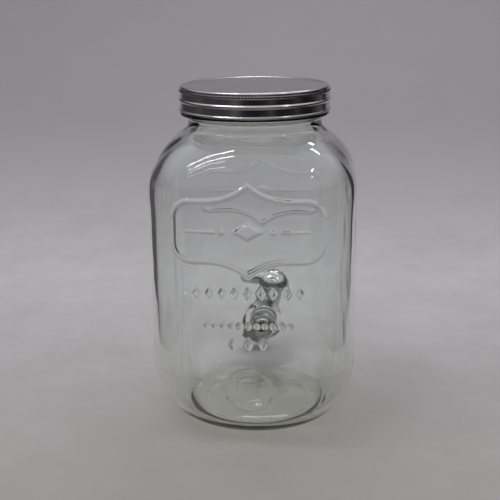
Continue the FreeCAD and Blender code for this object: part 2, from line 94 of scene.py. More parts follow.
corner_turn = math.atan2(FACE_FLAT / 2, JAR_HALF)
flare_turn = math.acos(1 - (JAR_HALF - NECK_RADIUS) / (SHOULDER_RADIUS + NECK_FLARE))
neck_base = SHOULDER_START + (SHOULDER_RADIUS + NECK_FLARE) * math.sin(flare_turn)
bead_base = neck_base + NECK_LENGTH
land_base = bead_base + BEAD_HEIGHT
rim_top = land_base + LAND_HEIGHT


def plan_arcs(half, roundness):
    """The face arc and the corner arc of the jar's plan at one level."""
    bow = 1 / ((1 - roundness) / FACE_BOW + roundness / half)
    offset = half - bow
    aside = offset * math.sin(corner_turn)
    reach = offset * math.cos(corner_turn) + math.sqrt(bow ** 2 - aside ** 2)
    side = reach * math.sin(corner_turn)
    lean = math.asin(side / bow)
    corner = (reach * math.cos(corner_turn) - side) / (math.cos(lean) - math.sin(lean))
    return bow, offset, lean, corner, side - corner * math.sin(lean)


# Columns run up the jar: closest over the front, close over the back, apart at the sides
FINE_REACH = 59.0
BACK_COUNT = 78
FRONT_COUNT = 156
SIDE_COUNT = 20
bow, _, lean, corner, _ = plan_arcs(JAR_HALF, 0)
face_length = 2 * lean * bow
quarter_length = face_length + corner * (math.pi / 2 - 2 * lean)
spots = []
back_middle = face_length / 2
front_middle = face_length / 2 + 2 * quarter_length
for middle, count in ((back_middle, BACK_COUNT), (front_middle, FRONT_COUNT)):
    spots.append(np.linspace(middle - FINE_REACH, middle + FINE_REACH, count, endpoint=False))
    far = middle + 2 * quarter_length - FINE_REACH
    spots.append(np.linspace(middle + FINE_REACH, far, SIDE_COUNT, endpoint=False))
spots = np.concatenate(spots) % (4 * quarter_length)
spot_quarter = np.floor(spots / quarter_length)
spot_run = spots - spot_quarter * quarter_length
spot_on_face = spot_run < face_length
spot_share = np.where(spot_on_face, spot_run / face_length,
                      (spot_run - face_length) / (quarter_length - face_length))


def plan_points(half, roundness, height):
    """One ring of points round the jar, on the same columns at every level."""
    bow, offset, lean, corner, centre = plan_arcs(half, roundness)
    face_angle = (2 * spot_share - 1) * lean
    corner_angle = lean + spot_share * (math.pi / 2 - 2 * lean)
    x = np.where(spot_on_face, bow * np.sin(face_angle), centre + corner * np.sin(corner_angle))
    y = np.where(spot_on_face, offset + bow * np.cos(face_angle), centre + corner * np.cos(corner_angle))
    spin = -spot_quarter * math.pi / 2
    return np.column_stack([x * np.cos(spin) - y * np.sin(spin), x * np.sin(spin) + y * np.cos(spin),
                            np.full(len(spots), height)])


def level(height, inset, floor, heel_in):
    """Half width and roundness of the jar's form at a height, drawn in by inset."""
    half = JAR_HALF - inset
    shoulder = SHOULDER_RADIUS - inset
    if height < HEEL_UP:
        drawn_in = 1 - math.sin(math.acos(1 - (height - floor) / (HEEL_UP - floor)))
        return half - heel_in * drawn_in, math.sqrt(drawn_in)
    if height <= SHOULDER_START:
        return half, 0.0
    if height <= SHOULDER_START + shoulder * math.sin(flare_turn):
        radius = half - shoulder + math.sqrt(shoulder ** 2 - (height - SHOULDER_START) ** 2)
    else:
        flare = NECK_FLARE + inset
        radius = NECK_RADIUS - inset + flare - math.sqrt(flare ** 2 - (neck_base - height) ** 2)
    return radius, min((half - radius) / (JAR_HALF - NECK_RADIUS), 1.0)


def heel_heights(floor, top, count):
    """Heights up the heel's curve, close together where it is nearly level."""
    last = math.acos(1 - (top - floor) / (HEEL_UP - floor))
    return [floor + (HEEL_UP - floor) * (1 - math.cos(last * i / count)) for i in range(1, count)]


def rings(levels):
    """The rings of points of a list of levels, each a half width, roundness and height."""
    return np.stack([plan_points(half, roundness, height) for half, roundness, height in levels])


def smooth_step(value):
    """A soft ramp from 0 to 1."""
    value = np.clip(value, 0, 1)
    return value * value * (3 - 2 * value)


# Outside, from the middle of the base up to the rim, with rings closest where the relief is
PAD_LOW, PAD_HIGH = 24.0, 65.0
ROWS_LOW, ROWS_HIGH = 73.0, 203.0
BASE_RINGS = (3.0, 14.0, 25.0, 34.0, PUSH_UP_RADIUS)
BETWEEN_RINGS = [67.5, 70.0]
HEEL_COUNT, PAD_COUNT, ROWS_COUNT = 14, 42, 160
FLARE_COUNT, FLARE_CROWDING = 18, 1.6
BEAD_COUNT, LAND_COUNT, RIM_COUNT = 13, 18, 5
BEAD_TO_LAND = 0.4
STANDING_LEVEL, STANDING_MARGIN = 0.01, 0.1
outside = []
push_rise = PUSH_UP_DEPTH - PUSH_UP_STEP
push_ball = (PUSH_UP_RADIUS ** 2 + push_rise ** 2) / (2 * push_rise)
for radius in BASE_RINGS:
    outside.append((radius, 1.0, PUSH_UP_DEPTH - push_ball + math.sqrt(push_ball ** 2 - radius ** 2)))
outside.append((PUSH_UP_RADIUS + PUSH_UP_LIP, 1.0, PUSH_UP_LIP_RISE))
outside += [(radius, 1.0, 0.0) for radius in (PUSH_UP_RADIUS + PUSH_UP_FOOT, JAR_HALF - HEEL_IN)]
heights = heel_heights(0, PAD_LOW, HEEL_COUNT)
heights += list(np.linspace(PAD_LOW, PAD_HIGH, PAD_COUNT)) + BETWEEN_RINGS
heights += list(np.linspace(ROWS_LOW, ROWS_HIGH, ROWS_COUNT))
for i in range(1, FLARE_COUNT + 1):
    heights.append(neck_base - (neck_base - ROWS_HIGH) * (1 - i / FLARE_COUNT) ** FLARE_CROWDING)
outside += [(*level(height, 0, 0, HEEL_IN), height) for height in heights]
for i in range(1, BEAD_COUNT):
    share = i / BEAD_COUNT
    swell = (BEAD_RADIUS - (NECK_RADIUS + LAND_RADIUS) / 2) * math.sin(math.pi * share ** BEAD_LIFT)
    outside.append((NECK_RADIUS + (LAND_RADIUS - NECK_RADIUS) * share + swell, 1.0,
                    bead_base + (BEAD_HEIGHT + BEAD_TO_LAND) * share))
for height in np.linspace(land_base + BEAD_TO_LAND, rim_top - RIM_ROUND, LAND_COUNT):
    outside.append((LAND_RADIUS, 1.0, height))
for i in range(1, RIM_COUNT + 1):
    turn = math.pi / 2 * i / RIM_COUNT
    outside.append((LAND_RADIUS - RIM_ROUND * (1 - math.cos(turn)), 1.0,
                    rim_top - RIM_ROUND * (1 - math.sin(turn))))
outer = rings(outside)
from_axis = np.hypot(outer[:, :, 0], outer[:, :, 1])
standing = (outer[:, :, 2] < STANDING_LEVEL) & (from_axis < JAR_HALF - HEEL_IN + STANDING_MARGIN)
around = np.arctan2(outer[:, :, 1], outer[:, :, 0])
outer[:, :, 2] += standing * STIPPLE_DEPTH * (0.5 - 0.5 * np.cos(STIPPLE_COUNT * around))

# Inside, from the rim down to the middle of the floor, with a crease where heel and floor meet
INNER_FLARE_COUNT, INNER_FLARE_CROWDING = 18, 1.4
INNER_WALL_COUNT, INNER_PAD_COUNT, INNER_HEEL_COUNT = 14, 24, 16
CREASE_RING, CREASE_CLEAR = 0.35, 0.6
FLOOR_EDGE, FLOOR_ROUNDING = 0.8, 4.0
FLOOR_RINGS = (45.0, 38.0, 26.0, 14.0, 4.0)
inside = []
for i in range(RIM_COUNT + 1):
    turn = math.pi / 2 * (1 - i / RIM_COUNT)
    inside.append((MOUTH_RADIUS + RIM_ROUND * (1 - math.cos(turn)), 1.0,
                   rim_top - RIM_ROUND * (1 - math.sin(turn))))
inside += [(MOUTH_RADIUS, 1.0, height) for height in (rim_top - MOUTH_STRAIGHT, land_base)]
inside.append((NECK_BORE, 1.0, bead_base))
heights = []
for i in range(INNER_FLARE_COUNT + 1):
    share = (i / INNER_FLARE_COUNT) ** INNER_FLARE_CROWDING
    heights.append(neck_base - (neck_base - SHOULDER_START) * share)
heights += list(np.linspace(SHOULDER_START, PAD_HIGH, INNER_WALL_COUNT))[1:]
heights += list(np.linspace(PAD_HIGH, PAD_LOW, INNER_PAD_COUNT))[1:]
heel_foot = BASE_THICKNESS - INNER_HEEL_DROP
heel_down = heel_heights(heel_foot, PAD_LOW, INNER_HEEL_COUNT)[::-1]
heights += [height for height in heel_down if height > BASE_THICKNESS + CREASE_CLEAR]
heights += [BASE_THICKNESS + CREASE_RING, BASE_THICKNESS]
inside += [(*level(height, WALL, heel_foot, INNER_HEEL_IN), height) for height in heights]
floor_half, floor_round = inside[-1][:2]
inside.append((floor_half - FLOOR_EDGE, floor_round, BASE_THICKNESS))
inside.append((floor_half - FLOOR_ROUNDING, (1 + floor_round) / 2, BASE_THICKNESS))
inside += [(radius, 1.0, BASE_THICKNESS) for radius in FLOOR_RINGS]
inner = rings(inside)


def outward(grid):
    """The way that a grid of rings faces, at each of its points."""
    along = np.roll(grid, -1, axis=1) - np.roll(grid, 1, axis=1)
    up = np.gradient(grid, axis=0)
    facing = np.cross(up, along)
    return facing / np.maximum(np.linalg.norm(facing, axis=2, keepdims=True), 1e-9)


# Moulded relief: a rib round each plaque, a lozenge, beads and bars inside it, and three
# plain rows below the front plaque
PLAQUE_SIDE = 54.5
PLAQUE_RISE = 23.25
PLAQUE_POINT = 11.0
PLAQUE_OGEE = 30.0
PLAQUE_CORNER = 14.0
PLAQUE_CENTRE = 164.5
PLAQUE_BORDER = 3.6
EMBOSS = 1.2
FLANK = 0.7
LOZENGE = (13.0, 7.5)
BEAD_PLACE, BEAD_DOT = 18.2, 2.2
BAR_NEAR, BAR_LENGTH, BAR_WIDTH = 23.4, 22.0, 2.6
BAR_LEAST = 0.01
ROW_LOZENGE = (3.2, 5.25)
ROW_BEAD = 1.9
LOZENGE_SLOPE, BAR_SLOPE = 2.2, 1.5
EDGE_SAMPLES, STILE_SAMPLES = 700, 40
ogee_radius = (PLAQUE_OGEE ** 2 + PLAQUE_POINT ** 2) / (2 * PLAQUE_POINT)


def plaque_edge(across):
    """The plaque's half height at a distance across: round corner, straight run, rise to its point."""
    across = np.abs(across)
    rise = ogee_radius - np.sqrt(ogee_radius ** 2 - np.clip(PLAQUE_OGEE - across, 0, None) ** 2)
    past = np.clip(across - (PLAQUE_SIDE - PLAQUE_CORNER), 0, PLAQUE_CORNER)
    return PLAQUE_RISE + rise - PLAQUE_CORNER + np.sqrt(PLAQUE_CORNER ** 2 - past ** 2)


def lozenge(across, up, size):
    """A lozenge with sloping sides and a flat top."""
    return smooth_step(LOZENGE_SLOPE * (1 - np.abs(across) / size[0] - np.abs(up) / size[1]))


def bead(across, up, radius):
    """A half ball."""
    return np.sqrt(np.clip(1 - (across ** 2 + up ** 2) / radius ** 2, 0, 1))


def plaque_relief(across, up):
    """Height of the plaque's relief, from its middle, as a share of the full height."""
    edge_across = np.linspace(-PLAQUE_SIDE, PLAQUE_SIDE, EDGE_SAMPLES)
    edge_up = plaque_edge(edge_across)
    stile = np.linspace(-edge_up[0], edge_up[0], STILE_SAMPLES)
    stile_across = np.full(STILE_SAMPLES, PLAQUE_SIDE)
    edge = np.concatenate([
        np.column_stack([edge_across, edge_up]), np.column_stack([edge_across, -edge_up]),
        np.column_stack([stile_across, stile]), np.column_stack([-stile_across, stile]),
    ])
    away = np.full(across.shape, np.inf)
    for point in edge:
        away = np.minimum(away, np.hypot(across - point[0], up - point[1]))
    edge_here = plaque_edge(np.clip(across, -PLAQUE_SIDE, PLAQUE_SIDE))
    within = (np.abs(across) < PLAQUE_SIDE) & (np.abs(up) < edge_here)
    from_rib = np.where(within, away, -away) - PLAQUE_BORDER / 2
    relief = smooth_step((PLAQUE_BORDER / 2 - np.abs(from_rib)) / FLANK)
    relief = np.maximum(relief, lozenge(across, up, LOZENGE))
    for side in (-1, 1):
        relief = np.maximum(relief, bead(across - side * BEAD_PLACE, up, BEAD_DOT))
        along = (side * across - BAR_NEAR) / BAR_LENGTH
        half_bar = np.clip(BAR_WIDTH / 2 * (1 - along), BAR_LEAST, None)
        bar = smooth_step(BAR_SLOPE * (1 - np.abs(up) / half_bar)) * (along > 0) * (along < 1)
        relief = np.maximum(relief, bar)
    return relief


# Each row: its mark, the mark's size, how many, how far apart and how high
ROWS = (
    (lozenge, ROW_LOZENGE, 9, 9.2, 119.5),
    (bead, ROW_BEAD, 11, 6.0, 95.0),
    (lozenge, ROW_LOZENGE, 3, 11.0, 81.0),
)


def row_relief(across, height):
    """Height of the rows' relief, each row even about the middle of the wall."""
    relief = np.zeros_like(across)
    for mark, size, count, pitch, middle in ROWS:
        for index in range(count):
            from_mark = across - pitch * (index - (count - 1) / 2)
            relief = np.maximum(relief, mark(from_mark, height - middle, size))
    return relief


facing = outward(outer)
for side in (-1, 1):
    on_wall = (side * outer[:, :, 1] > JAR_HALF / 2) & (np.abs(outer[:, :, 0]) < FINE_REACH)
    on_wall &= (outer[:, :, 2] > ROWS_LOW) & (outer[:, :, 2] < ROWS_HIGH)
    across = -side * outer[on_wall][:, 0]
    height = outer[on_wall][:, 2]
    relief = plaque_relief(across, height - PLAQUE_CENTRE)
    if side < 0:
        relief = np.maximum(relief, row_relief(across, height))
    outer[on_wall] += EMBOSS * relief[:, None] * facing[on_wall]

# Screw thread on the land: one ridge that climbs a little over a turn
THREAD_CROWN = 1.4
on_land = (outer[:, :, 2] > land_base) & (outer[:, :, 2] < rim_top - RIM_ROUND)
around = np.arctan2(outer[:, :, 1], outer[:, :, 0]) % (2 * math.pi)
ridge = np.zeros_like(around)
for turn in (0, 1):
    climb = around / (2 * math.pi) + turn
    from_ridge = np.abs(outer[:, :, 2] - land_base - THREAD_RISE - THREAD_PITCH * climb)
    swell = smooth_step(THREAD_CROWN - from_ridge / (THREAD_WIDTH / 2))
    ridge = np.maximum(ridge, swell * (climb < THREAD_TURNS))
outer += (THREAD_DEPTH * ridge * on_land)[:, :, None] * facing * (1, 1, 0)

# Tap pads: flat discs that stand out of the heel, the front one with a round recess
for side in (-1, 1):
    from_pad = np.hypot(outer[:, :, 0], outer[:, :, 2] - TAP_HEIGHT)
    rounding = 1 - np.clip((PAD_RADIUS - from_pad) / PAD_EDGE, 0, 1)
    blend = np.sqrt(1 - rounding ** 2) * (side * outer[:, :, 1] > JAR_HALF / 2)
    face = np.full(from_pad.shape, PAD_FACE)
    if side < 0:
        face -= PAD_RECESS_DEPTH * smooth_step((PAD_RECESS_RADIUS - from_pad) / PAD_RECESS_EDGE + 0.5)
    outer[:, :, 1] += blend * (side * face - outer[:, :, 1])
from_pad = np.hypot(inner[:, :, 0], inner[:, :, 2] - TAP_HEIGHT)
seat = smooth_step((SEAT_RADIUS + SEAT_EDGE / 2 - from_pad) / SEAT_EDGE) * (inner[:, :, 1] > JAR_HALF / 2)
inner[:, :, 1] += seat * (SEAT_FACE - inner[:, :, 1])

# The glass is thickest where the shoulder turns in to the neck, since it was blown least there
NECK_GLASS = 2.6
THICK_LOW, THICK_MIDDLE, THICK_HIGH = 186.0, 226.0, 248.0
rise = smooth_step((inner[:, :, 2] - THICK_LOW) / (THICK_MIDDLE - THICK_LOW))
fall = smooth_step((THICK_HIGH - inner[:, :, 2]) / (THICK_HIGH - THICK_MIDDLE))
inner += (NECK_GLASS * rise * fall)[:, :, None] * outward(inner)

# Blown glass is never even: the inside wall waves a little, except close to the floor and neck
WAVES = ((1.0, 0.35), (-0.6, 0.8), (0.3, -1.3))
WAVE_PHASE = 1.7
CALM_FLOOR, CALM_RUN = 4.0, 20.0
wave = np.zeros(inner.shape[:2])
for step, (across, up) in enumerate(WAVES):
    phase = (across * (inner[:, :, 0] + inner[:, :, 1]) + up * inner[:, :, 2]) / WAVE_LENGTH
    wave += np.sin(2 * math.pi * phase + WAVE_PHASE * step) / len(WAVES)
calm = smooth_step((inner[:, :, 2] - BASE_THICKNESS - CALM_FLOOR) / CALM_RUN)
calm *= smooth_step((neck_base - inner[:, :, 2]) / CALM_RUN)
inner += (WAVE_DEPTH * wave * calm * (1 - seat))[:, :, None] * outward(inner)


def new_piece(name, points, faces, finish, body):
    """A smooth mesh piece in metres from points in millimetres, on its body."""
    mesh = bpy.data.meshes.new(name)
    mesh.from_pydata((np.asarray(points) * MM).tolist(), [], faces)
    mesh.polygons.foreach_set("use_smooth", [True] * len(mesh.polygons))
    mesh.materials.append(finish)
    mesh.update()
    made = bpy.data.objects.new(name, mesh)
    bpy.context.scene.collection.objects.link(made)
    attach(made, body)
    return made


def strip_faces(row_count, column_count):
    """Quads between rings of points, with a fan to one more point at each end."""
    faces = []
    for row in range(row_count - 1):
        for column in range(column_count):
            after = (column + 1) % column_count
            start = row * column_count
            faces.append((start + column, start + column_count + column,
                          start + column_count + after, start + after))
    first, last = row_count * column_count, (row_count - 1) * column_count
    for column in range(column_count):
        after = (column + 1) % column_count
        faces.append((first, column, after))
        faces.append((first + 1, last + after, last + column))
    return faces


def linear(colour):
    """A six-figure sRGB colour as linear light."""
    parts = [int(colour[i:i + 2], 16) / 255 for i in (0, 2, 4)]
    return tuple(p / 12.92 if p <= 0.04045 else ((p + 0.055) / 1.055) ** 2.4 for p in parts) + (1.0,)


def add(tree, kind, links, **settings):
    """A node with its settings, each input given a value or linked to another node's output."""
    made = tree.nodes.new(kind)
    for name, value in settings.items():
        setattr(made, name, value)
    for socket, value in links.items():
        if isinstance(value, bpy.types.NodeSocket):
            tree.links.new(value, made.inputs[socket])
        else:
            made.inputs[socket].default_value = value
    return made


def new_finish(name):
    """An empty material and its node tree."""
    finish = bpy.data.materials.new(name)
    finish.use_nodes = True
    finish.node_tree.nodes.clear()
    return finish, finish.node_tree


# Soda-lime glass, fire polished: clear in the wall and faintly olive where it is deep.
# A slow ripple bends what is seen through it. Lamps shine through it with a little loss.
GLASS_RIPPLE = 22.0
soda_glass, tree = new_finish("soda_lime_glass_fire_polished")
place = add(tree, "ShaderNodeTexCoord", {})
ripple = add(tree, "ShaderNodeTexNoise", {"Vector": place.outputs["Object"], "Scale": 1 / (GLASS_RIPPLE * MM),
                                          "Detail": 1.0, "Roughness": 0.4})
bump = add(tree, "ShaderNodeBump", {"Height": ripple.outputs["Fac"], "Strength": 0.25, "Distance": 0.2 * MM})
body = add(tree, "ShaderNodeBsdfPrincipled", {
    "Base Color": linear("fdfffe"), "Roughness": 0.0, "IOR": 1.52, "Transmission Weight": 1.0,
    "Normal": bump.outputs["Normal"],
})
lamp_light = add(tree, "ShaderNodeBsdfTransparent", {"Color": linear("e6e6e2")})
path = add(tree, "ShaderNodeLightPath", {})
mix = add(tree, "ShaderNodeMixShader", {
    0: path.outputs["Is Shadow Ray"], 1: body.outputs[0], 2: lamp_light.outputs[0],
})
tint = add(tree, "ShaderNodeVolumeAbsorption", {"Color": linear("e5e5da"), "Density": 12.0})
add(tree, "ShaderNodeOutputMaterial", {"Surface": mix.outputs[0], "Volume": tint.outputs[0]})

row_count = len(outer) + len(inner)
points = np.concatenate([outer.reshape(-1, 3), inner.reshape(-1, 3),
                         [(0, 0, PUSH_UP_DEPTH), (0, 0, BASE_THICKNESS)]])
jar = new_piece("jar_glass", points, strip_faces(row_count, len(spots)), soda_glass, "jar")
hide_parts("glass_jar")


def settled(piece):
    """Turns a piece's modifiers into its mesh."""
    done = bpy.data.meshes.new_from_object(piece.evaluated_get(bpy.context.evaluated_depsgraph_get()))
    piece.modifiers.clear()
    piece.data = done
    done.polygons.foreach_set("use_smooth", [True] * len(done.polygons))
    return done


# The hole for the tap is drilled through the pad at the back, with crisp edges
DRILL_SIDES, DRILL_LENGTH = 72, 30.0
RIM_WITHIN, RIM_LEVEL = 0.02, 0.5
bit = bmesh.new()
aim = Matrix.Translation((0, SEAT_FACE * MM, TAP_HEIGHT * MM)) @ Matrix.Rotation(math.pi / 2, 4, "X")
bmesh.ops.create_cone(bit, cap_ends=True, segments=DRILL_SIDES, radius1=TAP_HOLE * MM, radius2=TAP_HOLE * MM,
                      depth=DRILL_LENGTH * MM, matrix=aim)
drill = bpy.data.objects.new("drill", bpy.data.meshes.new("drill"))
bit.to_mesh(drill.data)
bit.free()
bpy.context.scene.collection.objects.link(drill)
hole = jar.modifiers.new("tap_hole", "BOOLEAN")
hole.operation, hole.solver, hole.object = "DIFFERENCE", "EXACT", drill
glass = settled(jar)
bpy.data.objects.remove(drill)
places = np.zeros(3 * len(glass.vertices))
glass.vertices.foreach_get("co", places)
places = places.reshape(-1, 3) / MM
from_hole = np.hypot(places[:, 0], places[:, 2] - TAP_HEIGHT) - TAP_HOLE
rim = (np.abs(from_hole) < RIM_WITHIN) & (places[:, 1] > JAR_HALF / 2)
for edge in glass.edges:
    first, last = edge.vertices
    if rim[first] and rim[last] and abs(places[first, 1] - places[last, 1]) < RIM_LEVEL:
        edge.use_edge_sharp = True

# Lid: one piece of tinplate, drawn and rolled, with a satin silver lacquer. Its panel is
# sunk inside a rolled rim. A fine knurl, a rib and a curled foot run round its skirt, and
# it turns on the jar's thread.
LID_RADIUS = 55.8
LID_FOOT = 239.54
LID_PANEL = 257.24
LID_TOP = 258.14
LID_SHEET = 0.5
LID_RIM_WIDTH = 4.4
LID_EDGE = 2.2
LID_ROLL_FOOT, LID_ROLL_FOOT_UP = 0.6, 0.05
LID_ROLL_SIDE, LID_ROLL_SIDE_DOWN = 1.3, 0.1
LID_ROLL_TOP = 2.2
LID_PANEL_FLAT = 2.0
LID_MIDDLE_RING, LID_PANEL_RING = 2.0, 30.0
LID_INNER_ROLL, LID_INNER_PANEL = 1.2, 0.2
LID_FOOT_TUCK = 0.1
LID_RIB = 0.7
LID_RIB_UP = 8.4
LID_CURL = 0.9
LID_SOFTENING = 2
CORNER_CUT = 0.25
# The knurl has fewer teeth than the real one, about seven in ten, so that they show
KNURL_TEETH = 160
KNURL_DEPTH = 0.5
KNURL_HEIGHT = 2.7
KNURL_RINGS = 6
KNURL_FADE = 1.0
KNURL_WITHIN = 0.1
TOOTH_COLUMNS = 4
# Sections of the rib, up in millimetres and out in ribs, and of the curl, out in millimetres and up in curls
RIB_SECTION = ((2.2, 0.0), (1.3, 0.0), (0.7, 1.0), (0.0, 1.3), (-0.7, 1.0), (-1.3, 0.0), (-2.2, 0.0))
CURL_SECTION = ((0.0, 2.4), (0.1, 1.9), (0.9, 1.6), (0.99, 0.6), (0.3, 0.0))
# Shares of the rounded top edge: a quarter round in two steps
EDGE_SECTION = ((0.4, 0.1), (0.1, 0.4))


def soften(path, times):
    """An open path with its corners cut to smaller ones, the ends kept."""
    path = np.asarray(path, dtype=float)
    for _ in range(times):
        early = (1 - CORNER_CUT) * path[:-1] + CORNER_CUT * path[1:]
        late = CORNER_CUT * path[:-1] + (1 - CORNER_CUT) * path[1:]
        path = np.vstack([path[:1], np.stack([early, late], axis=1).reshape(-1, 2)[1:-1], path[-1:]])
    return path


def lathe(profile, column_count):
    """Rings of points about the Z axis from radius and height pairs."""
    angle = np.linspace(0, 2 * math.pi, column_count, endpoint=False)
    turned = []
    for radius, height in profile:
        level_here = np.full(column_count, height)
        turned.append(np.column_stack([radius * np.cos(angle), radius * np.sin(angle), level_here]))
    return np.stack(turned)


rim_inner = LID_RADIUS - LID_RIM_WIDTH
rib = LID_FOOT + LID_RIB_UP
shoulder = LID_TOP - LID_EDGE
lid_outside = [
    (LID_MIDDLE_RING, LID_PANEL),
    (LID_PANEL_RING, LID_PANEL),
    (rim_inner - LID_PANEL_FLAT, LID_PANEL),
    (rim_inner - LID_ROLL_FOOT, LID_PANEL + LID_ROLL_FOOT_UP),
    (rim_inner + LID_ROLL_SIDE, LID_TOP - LID_ROLL_SIDE_DOWN),
    (rim_inner + LID_ROLL_TOP, LID_TOP),
    (LID_RADIUS - LID_EDGE, LID_TOP),
]
lid_outside += [(LID_RADIUS - inward * LID_EDGE, LID_TOP - down * LID_EDGE) for inward, down in EDGE_SECTION]
lid_outside.append((LID_RADIUS, shoulder))
lid_outside += [(LID_RADIUS, shoulder - KNURL_HEIGHT * i / KNURL_RINGS) for i in range(1, KNURL_RINGS + 1)]
lid_outside += [(LID_RADIUS + LID_RIB * out, rib + up) for up, out in RIB_SECTION]
lid_outside += [(LID_RADIUS + out, LID_FOOT + up * LID_CURL) for out, up in CURL_SECTION]
lid_inside = [
    (LID_RADIUS - LID_SHEET, LID_FOOT + LID_FOOT_TUCK),
    (LID_RADIUS - LID_SHEET, shoulder),
    (LID_RADIUS - LID_EDGE, LID_TOP - LID_SHEET),
    (rim_inner + LID_INNER_ROLL, LID_TOP - LID_SHEET),
    (rim_inner + LID_INNER_PANEL, LID_PANEL - LID_SHEET),
    (LID_MIDDLE_RING, LID_PANEL - LID_SHEET),
]
profile = soften(lid_outside + lid_inside, LID_SOFTENING)
shell = lathe(profile, KNURL_TEETH * TOOTH_COLUMNS)
turn = np.arctan2(shell[:, :, 1], shell[:, :, 0])
over = shell[:, :, 2] - (shoulder - KNURL_HEIGHT / 2)
on_skirt = np.hypot(shell[:, :, 0], shell[:, :, 1]) > LID_RADIUS - KNURL_WITHIN
banded = smooth_step((KNURL_HEIGHT / 2 - np.abs(over)) / KNURL_FADE) * on_skirt
tooth = KNURL_DEPTH * banded * (0.5 - 0.5 * np.cos(KNURL_TEETH * turn))
shell[:, :, :2] *= (1 + tooth / LID_RADIUS)[:, :, None]

# Lacquered tinplate: silver grey and satin, with a fine grain and a little unevenness in
# the gloss. The grain is drawn coarser than the real one, so that it shows.
LACQUER_SPREAD = 9.0
LACQUER_GRAIN = 0.8
lacquered_tin, tree = new_finish("tinplate_drawn_satin_lacquer")
place = add(tree, "ShaderNodeTexCoord", {})
spread = add(tree, "ShaderNodeTexNoise", {
    "Vector": place.outputs["Object"], "Scale": 1 / (LACQUER_SPREAD * MM), "Detail": 3.0,
})
gloss = add(tree, "ShaderNodeMapRange", {"Value": spread.outputs["Fac"], "To Min": 0.15, "To Max": 0.22})
grain = add(tree, "ShaderNodeTexNoise", {
    "Vector": place.outputs["Object"], "Scale": 1 / (LACQUER_GRAIN * MM), "Detail": 2.0,
})
bump = add(tree, "ShaderNodeBump", {"Height": grain.outputs["Fac"], "Strength": 0.05, "Distance": 0.05 * MM})
body = add(tree, "ShaderNodeBsdfPrincipled", {
    "Base Color": linear("c4c3c5"), "Metallic": 1.0, "Roughness": gloss.outputs["Result"],
    "Normal": bump.outputs["Normal"],
})
add(tree, "ShaderNodeOutputMaterial", {"Surface": body.outputs[0]})

points = np.concatenate([shell.reshape(-1, 3), [(0, 0, LID_PANEL), (0, 0, LID_PANEL - LID_SHEET)]])
lid = new_piece("lid_cap", points, strip_faces(len(profile), KNURL_TEETH * TOOTH_COLUMNS), lacquered_tin,
                "lid")
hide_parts("lid_shell")

# Inside, the tin is enamelled white, with a fine orange peel
ENAMEL_PEEL = 1.2
ENAMEL_WITHIN, ENAMEL_BELOW, ENAMEL_TILT = 0.8, 0.6, 0.5
white_tin, tree = new_finish("tinplate_white_enamel")
place = add(tree, "ShaderNodeTexCoord", {})
peel = add(tree, "ShaderNodeTexNoise", {
    "Vector": place.outputs["Object"], "Scale": 1 / (ENAMEL_PEEL * MM), "Detail": 1.0,
})
gloss = add(tree, "ShaderNodeMapRange", {"Value": peel.outputs["Fac"], "To Min": 0.25, "To Max": 0.4})
bump = add(tree, "ShaderNodeBump", {"Height": peel.outputs["Fac"], "Strength": 0.1, "Distance": 0.05 * MM})
body = add(tree, "ShaderNodeBsdfPrincipled", {
    "Base Color": linear("e6e5e1"), "Roughness": gloss.outputs["Result"], "Normal": bump.outputs["Normal"],
})
add(tree, "ShaderNodeOutputMaterial", {"Surface": body.outputs[0]})
lid.data.materials.append(white_tin)
within = LID_RADIUS - ENAMEL_WITHIN * LID_SHEET
below = LID_PANEL - ENAMEL_BELOW * LID_SHEET
for face in lid.data.polygons:
    middle = face.center / MM
    if face.normal.z < ENAMEL_TILT and math.hypot(middle.x, middle.y) < within and middle.z < below:
        face.material_index = 1

# Lid liner: a disc of white polyethylene foam, stamped and pressed into the lid, which seals
# on the rim. Dull, with cells that are drawn coarser than the real ones, so that they show.
FOAM_CELL = 0.9
foam, tree = new_finish("polyethylene_foam_white")
place = add(tree, "ShaderNodeTexCoord", {})
cells = add(tree, "ShaderNodeTexVoronoi", {"Vector": place.outputs["Object"], "Scale": 1 / (FOAM_CELL * MM)})
bump = add(tree, "ShaderNodeBump", {
    "Height": cells.outputs["Distance"], "Strength": 0.3, "Distance": 0.1 * MM,
})
shade = add(tree, "ShaderNodeMapRange", {"Value": cells.outputs["Distance"], "To Min": 0.55, "To Max": 0.7})
body = add(tree, "ShaderNodeBsdfPrincipled", {
    "Base Color": linear("e9e8e4"), "Roughness": shade.outputs["Result"], "Normal": bump.outputs["Normal"],
})
add(tree, "ShaderNodeOutputMaterial", {"Surface": body.outputs[0]})


def dress(finish, *names):
    """Gives a finish to parts that come from the frame as they are."""
    for name in names:
        nodes[name].data.materials.clear()
        nodes[name].data.materials.append(finish)


dress(foam, "lid_liner")

# Tap: a zinc casting, polished and chrome plated. Its shank goes through the drilled pad,
# and its faceted spout and valve column hang off the shank, leaned a little to one side.
# Bright, with a slow wave from the casting under the plating.
CASTING_WAVE = 6.0
chrome, tree = new_finish("zinc_cast_chrome_plated")
place = add(tree, "ShaderNodeTexCoord", {})
spread = add(tree, "ShaderNodeTexNoise", {
    "Vector": place.outputs["Object"], "Scale": 1 / (CASTING_WAVE * MM), "Detail": 2.0,
})
gloss = add(tree, "ShaderNodeMapRange", {"Value": spread.outputs["Fac"], "To Min": 0.05, "To Max": 0.12})
bump = add(tree, "ShaderNodeBump", {"Height": spread.outputs["Fac"], "Strength": 0.15, "Distance": 0.15 * MM})
body = add(tree, "ShaderNodeBsdfPrincipled", {
    "Base Color": linear("c6c8ca"), "Metallic": 1.0, "Roughness": gloss.outputs["Result"],
    "Normal": bump.outputs["Normal"],
})
add(tree, "ShaderNodeOutputMaterial", {"Surface": body.outputs[0]})
dress(chrome, "valve_bonnet", "handle_cap", "tap_lock_nut")

